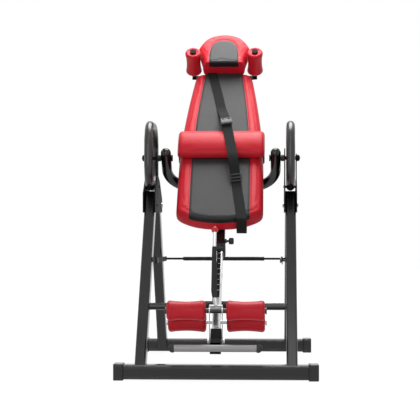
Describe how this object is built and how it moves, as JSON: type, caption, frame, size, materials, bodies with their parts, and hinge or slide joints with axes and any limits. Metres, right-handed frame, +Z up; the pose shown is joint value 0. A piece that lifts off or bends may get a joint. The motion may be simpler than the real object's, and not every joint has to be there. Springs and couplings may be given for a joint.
{
  "type": "inversion table",
  "caption": "Folding inversion table with a padded tilting bed on an A-frame, hoop handrails, a sliding boom and a lever-worked foam roller ankle clamp.",
  "frame": {"origin": "on the floor, at the centre of the object's plan", "axes": "+X to the right of someone facing the table, +Y to its rear, +Z up"},
  "size_m": [0.7, 1.1342, 1.2769],
  "materials": {
    "black_paint": "satin black powder coat",
    "black_plastic": "moulded black plastic",
    "black_foam": "black closed-cell foam",
    "chrome": "bright chrome",
    "zinc": "zinc plated steel",
    "grey_paint": "grey metallic paint",
    "red_vinyl": "red coated fabric over foam",
    "red_foam": "red skinned foam",
    "red_ball": "gloss red knob",
    "webbing": "black woven webbing",
    "board_wood": "plywood board"
  },
  "bodies": {
    "frame": {"front_base_tube": "black_paint", "front_base_cap_left": "black_plastic", "front_base_cap_right": "black_plastic", "front_leg_left": "black_paint", "front_leg_right": "black_paint", "front_crossbar": "black_paint", "crossbar_bumper": "black_foam", "apex_plate_inner_left": "black_paint", "apex_plate_inner_right": "black_paint", "apex_plate_outer_left": "black_paint", "apex_plate_outer_right": "black_paint", "handrail_tube_left": "black_paint", "handrail_tube_right": "black_paint", "handrail_foam_left": "black_foam", "handrail_foam_right": "black_foam", "pivot_bolt_left": "zinc", "pivot_bolt_right": "zinc", "fold_bolt_left": "zinc", "fold_bolt_right": "zinc"},
    "rear_frame": {"rear_base_tube": "black_paint", "rear_base_cap_left": "black_plastic", "rear_base_cap_right": "black_plastic", "rear_leg_left": "black_paint", "rear_leg_right": "black_paint"},
    "stay": {"stay_frame": "black_paint", "stay_sleeve": "black_foam"},
    "bed": {"cradle_tube": "black_paint", "pivot_bush_left": "black_plastic", "pivot_bush_right": "black_plastic", "boom_sleeve": "black_paint", "sleeve_mouth": "black_plastic", "backrest_board": "board_wood", "backrest_pad": "red_vinyl", "head_bracket": "black_paint", "headrest_pad": "red_vinyl", "safety_belt": "webbing", "belt_buckle": "black_plastic"},
    "lumbar": {"lumbar_pad": "red_vinyl", "lumbar_band": "webbing"},
    "height_pin": {"height_pin": "black_plastic"},
    "boom": {"boom_tube": "chrome", "rear_axle": "zinc", "foot_block": "black_plastic", "foot_bar": "grey_paint", "foot_cap_left": "black_plastic", "foot_cap_right": "black_plastic", "clamp_bolt": "zinc"},
    "ankle_clamp": {"ankle_yoke": "chrome", "front_axle": "black_paint", "lever_rod": "chrome", "lever_grip": "black_foam", "lever_ball": "red_ball"},
    "shoulder_roller_left": {"shoulder_roller_left": "red_foam"},
    "shoulder_roller_right": {"shoulder_roller_right": "red_foam"},
    "rear_roller_left": {"rear_roller_left": "red_foam"},
    "rear_roller_right": {"rear_roller_right": "red_foam"},
    "front_roller_left": {"front_roller_left": "red_foam"},
    "front_roller_right": {"front_roller_right": "red_foam"}
  },
  "joints": [
    {"name": "bed_tilt", "type": "hinge", "parent": "frame", "child": "bed", "pos_m": [0, -0.02377, 0.775], "axis": [-1, 0, 0], "range_deg": [0, 84.5]},
    {"name": "frame_fold", "type": "hinge", "parent": "frame", "child": "rear_frame", "pos_m": [0, 0.15333, 0.6], "axis": [1, 0, 0], "range_deg": [-65, 0]},
    {"name": "stay_swing", "type": "hinge", "parent": "rear_frame", "child": "stay", "pos_m": [0, 0.29403, 0.39], "axis": [1, 0, 0], "range_deg": [-9.75, 0]},
    {"name": "lumbar_slide", "type": "slide", "parent": "bed", "child": "lumbar", "axis": [0, 0.6947, 0.7193], "range_m": [-0.02, 0.02]},
    {"name": "height_pin_pull", "type": "slide", "parent": "bed", "child": "height_pin", "axis": [1, 0, 0], "range_m": [-0.0065, 0.006]},
    {"name": "boom_slide", "type": "slide", "parent": "bed", "child": "boom", "axis": [0, -0.6947, -0.7193], "range_m": [-0.025, 0.125]},
    {"name": "clamp_open", "type": "hinge", "parent": "boom", "child": "ankle_clamp", "pos_m": [0, -0.48786, 0.13606], "axis": [1, 0, 0], "range_deg": [0, 32]},
    {"name": "shoulder_roller_spin_left", "type": "hinge", "parent": "bed", "child": "shoulder_roller_left", "pos_m": [-0.1225, 0.35968, 1.17208], "axis": [0, -0.7193, 0.6947], "continuous": true},
    {"name": "shoulder_roller_spin_right", "type": "hinge", "parent": "bed", "child": "shoulder_roller_right", "pos_m": [0.1225, 0.35968, 1.17208], "axis": [0, -0.7193, 0.6947], "continuous": true},
    {"name": "rear_roller_spin_left", "type": "hinge", "parent": "boom", "child": "rear_roller_left", "pos_m": [-0.10125, -0.4309, 0.19505], "axis": [1, 0, 0], "continuous": true},
    {"name": "rear_roller_spin_right", "type": "hinge", "parent": "boom", "child": "rear_roller_right", "pos_m": [0.10125, -0.4309, 0.19505], "axis": [1, 0, 0], "continuous": true},
    {"name": "front_roller_spin_left", "type": "hinge", "parent": "ankle_clamp", "child": "front_roller_left", "pos_m": [-0.10125, -0.50026, 0.23839], "axis": [1, 0, 0], "continuous": true},
    {"name": "front_roller_spin_right", "type": "hinge", "parent": "ankle_clamp", "child": "front_roller_right", "pos_m": [0.10125, -0.50026, 0.23839], "axis": [1, 0, 0], "continuous": true}
  ],
  "couplings": [
    {"joint": "stay_swing", "follows": "frame_fold", "ratio": 0.15}
  ]
}
